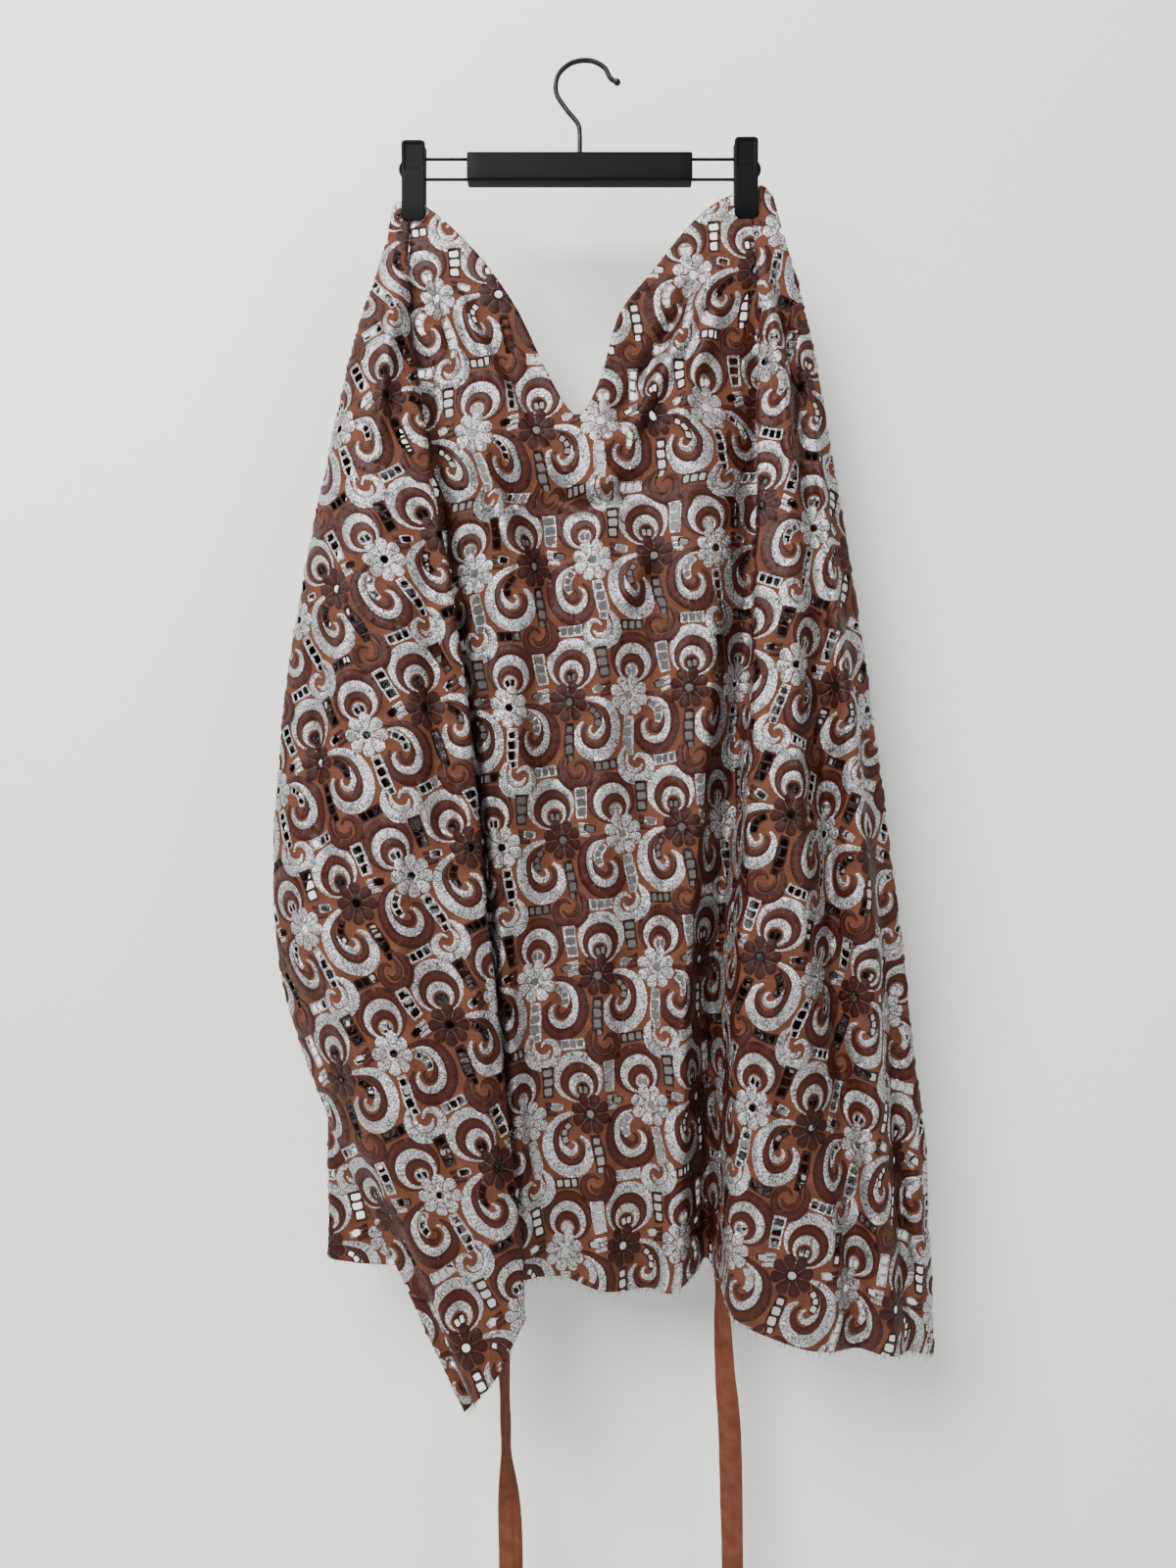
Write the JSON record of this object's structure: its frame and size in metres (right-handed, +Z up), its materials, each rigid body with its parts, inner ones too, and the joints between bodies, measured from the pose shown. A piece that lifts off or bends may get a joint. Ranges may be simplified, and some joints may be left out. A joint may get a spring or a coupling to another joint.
{
  "type": "midi skirt on a clip hanger",
  "caption": "Wrap midi skirt of embroidered cutwork cloth with long ties, gathered in the clips of a wire trouser hanger.",
  "frame": {"origin": "the inner top of the hanger's hook, where it rests on what holds it", "axes": "+X to the viewer's right, +Y away from the viewer towards the back of the skirt, +Z up"},
  "size_m": [0.606, 0.1261, 1.4447],
  "materials": {
    "cutwork": "tan cutwork cloth with brown satin stitch and crinkled silver thread",
    "tie_cloth": "plain cinnamon brown cloth",
    "bar": "satin black",
    "steel": "bright steel",
    "black_wire": "black coated steel wire",
    "clip": "matte black"
  },
  "bodies": {
    "root": {"left_front": "cutwork", "left_back": "cutwork", "centre_front": "cutwork", "right_front": "cutwork", "right_back": "cutwork", "left_tie": "tie_cloth", "right_tie": "tie_cloth", "hanger_bar": "bar", "hanger_hook": "steel", "left_wire": "black_wire", "right_wire": "black_wire", "left_clip_front": "clip", "left_clip_back": "clip", "left_clip_pin": "steel", "right_clip_front": "clip", "right_clip_back": "clip", "right_clip_pin": "steel"}
  },
  "joints": []
}
